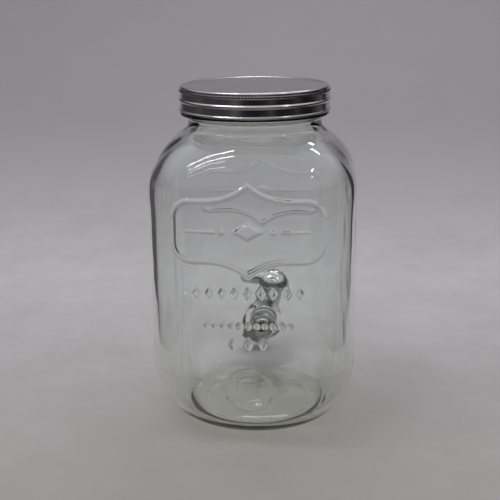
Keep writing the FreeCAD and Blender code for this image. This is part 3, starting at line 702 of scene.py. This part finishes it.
# The two castings: the body, and the domed handle with its lever. Their edges and joins
# are rounded as a casting's are.
CAST_GRAIN = 0.45
POLISH_STRENGTH, POLISH_PASSES = 0.5, 14
for name, node, ridden in (("tap_casting", "tap_body", "jar"), ("handle_casting", "tap_handle", "valve")):
    casting = bpy.data.objects.new(name, nodes[node].data.copy())
    bpy.context.scene.collection.objects.link(casting)
    skin = casting.modifiers.new("skin", "REMESH")
    skin.mode, skin.voxel_size = "VOXEL", CAST_GRAIN * MM
    soft = casting.modifiers.new("polish", "SMOOTH")
    soft.factor, soft.iterations = POLISH_STRENGTH, POLISH_PASSES
    mesh = settled(casting)
    mesh.materials.clear()
    mesh.materials.append(chrome)
    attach(casting, ridden)
    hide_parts(node)

# Washers: two rings of silicone, moulded, that seal the hole on both faces of the glass.
# Milky and half clear, with the matt of the mould, drawn coarser so that it shows.
SILICONE_MATT = 0.6
SILICONE_CLOUD = 5.0
silicone, tree = new_finish("silicone_rubber_moulded_milky")
place = add(tree, "ShaderNodeTexCoord", {})
matt = add(tree, "ShaderNodeTexNoise", {
    "Vector": place.outputs["Object"], "Scale": 1 / (SILICONE_MATT * MM), "Detail": 3.0,
})
gloss = add(tree, "ShaderNodeMapRange", {"Value": matt.outputs["Fac"], "To Min": 0.3, "To Max": 0.5})
cloud = add(tree, "ShaderNodeTexNoise", {
    "Vector": place.outputs["Object"], "Scale": 1 / (SILICONE_CLOUD * MM), "Detail": 2.0,
})
milk = add(tree, "ShaderNodeMix", {
    "Factor": cloud.outputs["Fac"], "A": linear("d9dbdb"), "B": linear("eceded"),
}, data_type="RGBA")
bump = add(tree, "ShaderNodeBump", {"Height": matt.outputs["Fac"], "Strength": 0.1, "Distance": 0.05 * MM})
body = add(tree, "ShaderNodeBsdfPrincipled", {
    "Base Color": milk.outputs["Result"], "Roughness": gloss.outputs["Result"], "IOR": 1.41,
    "Transmission Weight": 0.6, "Normal": bump.outputs["Normal"],
})
add(tree, "ShaderNodeOutputMaterial", {"Surface": body.outputs[0]})
dress(silicone, "tap_outer_washer", "tap_inner_washer")

# Slip ring: a thin ring of natural polypropylene, moulded, that lets the nut turn without
# dragging on its washer. Waxy white, a little cloudy from the flow of the melt.
MELT_FLOW = 4.0
polypropylene, tree = new_finish("polypropylene_moulded_natural")
place = add(tree, "ShaderNodeTexCoord", {})
flow = add(tree, "ShaderNodeTexNoise", {
    "Vector": place.outputs["Object"], "Scale": 1 / (MELT_FLOW * MM), "Detail": 3.0, "Distortion": 0.8,
})
wax = add(tree, "ShaderNodeMix", {
    "Factor": flow.outputs["Fac"], "A": linear("dedcd5"), "B": linear("efede7"),
}, data_type="RGBA")
gloss = add(tree, "ShaderNodeMapRange", {"Value": flow.outputs["Fac"], "To Min": 0.3, "To Max": 0.42})
body = add(tree, "ShaderNodeBsdfPrincipled", {
    "Base Color": wax.outputs["Result"], "Roughness": gloss.outputs["Result"], "IOR": 1.49,
    "Transmission Weight": 0.25,
})
add(tree, "ShaderNodeOutputMaterial", {"Surface": body.outputs[0]})
dress(polypropylene, "tap_slip_ring")

# Valve plug: white acetal, turned on a lathe, in the bore of the tap's column. Satin, with
# faint level rings that are drawn much further apart than the lathe's, so that they show.
RING_SPACING = 3.1416
# The wave pattern runs through this many radians in one unit of its scale
WAVE_RADIANS = 20.0
acetal, tree = new_finish("acetal_turned_white")
place = add(tree, "ShaderNodeTexCoord", {})
ring_scale = 2 * math.pi / (WAVE_RADIANS * RING_SPACING * MM)
rings_cut = add(tree, "ShaderNodeTexWave", {
    "Vector": place.outputs["Object"], "Scale": ring_scale, "Distortion": 0.3,
}, bands_direction="Z")
bump = add(tree, "ShaderNodeBump", {
    "Height": rings_cut.outputs["Fac"], "Strength": 0.15, "Distance": 0.03 * MM,
})
gloss = add(tree, "ShaderNodeMapRange", {"Value": rings_cut.outputs["Fac"], "To Min": 0.28, "To Max": 0.4})
body = add(tree, "ShaderNodeBsdfPrincipled", {
    "Base Color": linear("edece8"), "Roughness": gloss.outputs["Result"], "IOR": 1.48,
    "Normal": bump.outputs["Normal"],
})
add(tree, "ShaderNodeOutputMaterial", {"Surface": body.outputs[0]})
dress(acetal, "valve_plug")

# Plug seals: two rings of black nitrile rubber in the plug's grooves, with a dull greased
# skin that is patchy in its gloss
NITRILE_PATCH = 1.5
nitrile, tree = new_finish("nitrile_rubber_moulded_black")
place = add(tree, "ShaderNodeTexCoord", {})
skin = add(tree, "ShaderNodeTexNoise", {
    "Vector": place.outputs["Object"], "Scale": 1 / (NITRILE_PATCH * MM), "Detail": 3.0,
})
tone = add(tree, "ShaderNodeMix", {
    "Factor": skin.outputs["Fac"], "A": linear("161617"), "B": linear("2a2a2b"),
}, data_type="RGBA")
gloss = add(tree, "ShaderNodeMapRange", {"Value": skin.outputs["Fac"], "To Min": 0.35, "To Max": 0.6})
body = add(tree, "ShaderNodeBsdfPrincipled", {
    "Base Color": tone.outputs["Result"], "Roughness": gloss.outputs["Result"], "IOR": 1.52,
})
add(tree, "ShaderNodeOutputMaterial", {"Surface": body.outputs[0]})
dress(nitrile, "plug_seal_upper", "plug_seal_lower")

# Handle screw: stainless steel, turned and slotted, under the cap. Grey, with a fine grain
# in its gloss, drawn coarser than the real one so that it shows.
STEEL_GRAIN = 0.4
stainless, tree = new_finish("stainless_steel_turned")
place = add(tree, "ShaderNodeTexCoord", {})
grain = add(tree, "ShaderNodeTexNoise", {
    "Vector": place.outputs["Object"], "Scale": 1 / (STEEL_GRAIN * MM), "Detail": 2.0,
})
gloss = add(tree, "ShaderNodeMapRange", {"Value": grain.outputs["Fac"], "To Min": 0.2, "To Max": 0.34})
bump = add(tree, "ShaderNodeBump", {"Height": grain.outputs["Fac"], "Strength": 0.2, "Distance": 0.02 * MM})
body = add(tree, "ShaderNodeBsdfPrincipled", {
    "Base Color": linear("c3c1be"), "Metallic": 1.0, "Roughness": gloss.outputs["Result"],
    "Normal": bump.outputs["Normal"],
})
add(tree, "ShaderNodeOutputMaterial", {"Surface": body.outputs[0]})
dress(stainless, "handle_screw")

# Stage: a sheet of grey paper on a narrow table, swept up in a wide curve behind the jar.
# Its colour carries painted shade, darker at the front and up the sweep, and it is a little scuffed.
PAPER_GAP = 0.3
PAPER_STAIN = 60.0
PAPER_NEAR, PAPER_FAR = -350.0, 300.0
WALL_LOW, WALL_HIGH = 360.0, 750.0
SWEEP_FRONT = -540.0
SWEEP_NEAR = -300.0
SWEEP_STEPS = 24
SWEEP_FLAT = 330.0
SWEEP_RADIUS = 800.0
SWEEP_HALF = 620.0
SWEEP_WIDE = 700.0
TABLE_HALF = 240.0
TABLE_BACK = 40.0
SWEEP_TOP = 1900.0
sweep = [(y, 0.0) for y in (SWEEP_FRONT, SWEEP_NEAR, TABLE_BACK, SWEEP_FLAT)]
for i in range(1, SWEEP_STEPS + 1):
    turn = math.pi / 2 * i / SWEEP_STEPS
    sweep.append((SWEEP_FLAT + SWEEP_RADIUS * math.sin(turn), SWEEP_RADIUS * (1 - math.cos(turn))))
sweep.append((SWEEP_FLAT + SWEEP_RADIUS, SWEEP_TOP))
mesh = bpy.data.meshes.new("backdrop")
halves = np.interp([y for y, z in sweep], (TABLE_BACK, SWEEP_WIDE), (TABLE_HALF, SWEEP_HALF))
points = []
for (y, z), half in zip(sweep, halves):
    points += [(side * half * MM, y * MM, (z - PAPER_GAP) * MM) for side in (-1, 1)]
mesh.from_pydata(points, [], [(2 * i, 2 * i + 1, 2 * i + 3, 2 * i + 2) for i in range(len(sweep) - 1)])
mesh.polygons.foreach_set("use_smooth", [True] * len(mesh.polygons))
backdrop = bpy.data.objects.new("backdrop", mesh)
bpy.context.scene.collection.objects.link(backdrop)
paper, tree = new_finish("paper_grey_matt")
place = add(tree, "ShaderNodeTexCoord", {})
along = add(tree, "ShaderNodeSeparateXYZ", {"Vector": place.outputs["Object"]})
# Painted shade: the paper's colour darkens towards the front, where less lamp light falls
painted_front_shade = add(tree, "ShaderNodeMapRange", {
    "Value": along.outputs["Y"], "From Min": PAPER_NEAR * MM, "From Max": PAPER_FAR * MM,
})
ground = add(tree, "ShaderNodeMix", {
    "Factor": painted_front_shade.outputs["Result"], "A": linear("928e8a"), "B": linear("a9a7a9"),
}, data_type="RGBA")
# Painted shade: the paper's colour darkens up the sweep, where the lamps' light falls off
rise = add(tree, "ShaderNodeMapRange", {
    "Value": along.outputs["Y"], "From Min": WALL_LOW * MM, "From Max": WALL_HIGH * MM,
})
wall = add(tree, "ShaderNodeMix", {
    "Factor": rise.outputs["Result"], "A": ground.outputs["Result"], "B": linear("868487"),
}, data_type="RGBA")
stain = add(tree, "ShaderNodeTexNoise", {
    "Vector": place.outputs["Object"], "Scale": 1 / (PAPER_STAIN * MM), "Detail": 6.0, "Roughness": 0.65,
})
scuff = add(tree, "ShaderNodeMapRange", {
    "Value": stain.outputs["Fac"], "From Min": 0.35, "From Max": 0.7, "To Min": 0.0, "To Max": 0.35,
})
tone = add(tree, "ShaderNodeMix", {
    "Factor": scuff.outputs["Result"], "A": wall.outputs["Result"], "B": linear("8d8985"),
}, data_type="RGBA")
sheet = add(tree, "ShaderNodeBsdfPrincipled", {"Base Color": tone.outputs["Result"], "Roughness": 0.75})
add(tree, "ShaderNodeOutputMaterial", {"Surface": sheet.outputs[0]})
mesh.materials.append(paper)

# Light: a pale ceiling over a dim room that is uneven where metal and glass show it, two long
# tubes above the jar on the left, a short one on the right and one behind, and a soft panel
# that only lights, with no image in glass or chrome
CEILING_LOW, CEILING_HIGH = 0.3, 0.6
LEFT_PALE, LEFT_DARK = -0.5, -0.1
CLUTTER_SCALE = 2.6
# Each lamp: its name, its place and its size in metres, and its power in watts
LAMPS = (
    ("tube_near", (-0.85, -0.5, 1.9), (1.0, 0.03), 5.0),
    ("tube_far", (-0.85, -0.15, 1.9), (1.0, 0.03), 5.0),
    ("tube_back", (0.15, 0.92, 1.3), (0.9, 0.12), 4.0),
    ("tube_right", (1.0, -0.35, 1.7), (0.04, 0.3), 1.5),
    ("ceiling_panel", (0.0, 0.5, 1.5), (1.2, 0.8), 6.0),
)
world = bpy.data.worlds.new("room")
bpy.context.scene.world = world
world.use_nodes = True
tree = world.node_tree
tree.nodes.clear()
place = add(tree, "ShaderNodeTexCoord", {})
way = add(tree, "ShaderNodeSeparateXYZ", {"Vector": place.outputs["Generated"]})
up = add(tree, "ShaderNodeMapRange", {
    "Value": way.outputs["Z"], "From Min": CEILING_LOW, "From Max": CEILING_HIGH,
})
aside = add(tree, "ShaderNodeMapRange", {
    "Value": way.outputs["X"], "From Min": LEFT_PALE, "From Max": LEFT_DARK,
})
dim = add(tree, "ShaderNodeMix", {
    "Factor": aside.outputs["Result"], "A": linear("444143"), "B": linear("1e1b1c"),
}, data_type="RGBA")
clutter = add(tree, "ShaderNodeTexNoise", {
    "Vector": place.outputs["Generated"], "Scale": CLUTTER_SCALE, "Detail": 1.0,
})
patch = add(tree, "ShaderNodeMapRange", {
    "Value": clutter.outputs["Fac"], "From Min": 0.52, "From Max": 0.68, "To Min": 0.0, "To Max": 0.8,
})
uneven = add(tree, "ShaderNodeMix", {
    "Factor": patch.outputs["Result"], "A": dim.outputs["Result"], "B": linear("6a6563"),
}, data_type="RGBA")
path = add(tree, "ShaderNodeLightPath", {})
low = add(tree, "ShaderNodeMix", {
    "Factor": path.outputs["Is Camera Ray"], "A": uneven.outputs["Result"], "B": dim.outputs["Result"],
}, data_type="RGBA")
room = add(tree, "ShaderNodeMix", {
    "Factor": up.outputs["Result"], "A": low.outputs["Result"], "B": linear("dedee4"),
}, data_type="RGBA")
sky = add(tree, "ShaderNodeBackground", {"Color": room.outputs["Result"], "Strength": 1.0})
add(tree, "ShaderNodeOutputWorld", {"Surface": sky.outputs[0]})

for name, hook, size, power in LAMPS:
    lamp = bpy.data.lights.new(name, "AREA")
    lamp.energy = power
    lamp.shape = "RECTANGLE"
    lamp.size, lamp.size_y = size
    hung = bpy.data.objects.new(name, lamp)
    hung.location = hook
    hung.visible_glossy = name != "ceiling_panel"
    hung.visible_transmission = hung.visible_glossy
    bpy.context.scene.collection.objects.link(hung)

# Camera: a little above the jar and to its right, looking down at it through a long lens.
# Its place is in millimetres, its angles in radians and its focal length in picture pixels.
PICTURE_PIXELS = 500
CAMERA_PIXELS = 990.2
CAMERA_BACK = 740.9
CAMERA_HEIGHT = 344.0
CAMERA_DOWN = 0.2817
CAMERA_ROLL = 0.0094
CAMERA_TURN = 0.0811
CAMERA_ASIDE = -2.6
lens = bpy.data.cameras.new("camera")
lens.sensor_width = 36.0
lens.lens = CAMERA_PIXELS * lens.sensor_width / PICTURE_PIXELS
camera = bpy.data.objects.new("camera", lens)
camera.location = (
    (CAMERA_ASIDE * math.cos(CAMERA_TURN) + CAMERA_BACK * math.sin(CAMERA_TURN)) * MM,
    (CAMERA_ASIDE * math.sin(CAMERA_TURN) - CAMERA_BACK * math.cos(CAMERA_TURN)) * MM,
    CAMERA_HEIGHT * MM,
)
camera.rotation_euler = (math.pi / 2 - CAMERA_DOWN, CAMERA_ROLL, CAMERA_TURN)
bpy.context.scene.collection.objects.link(camera)
bpy.context.scene.camera = camera
bpy.context.scene.view_settings.view_transform = "Standard"
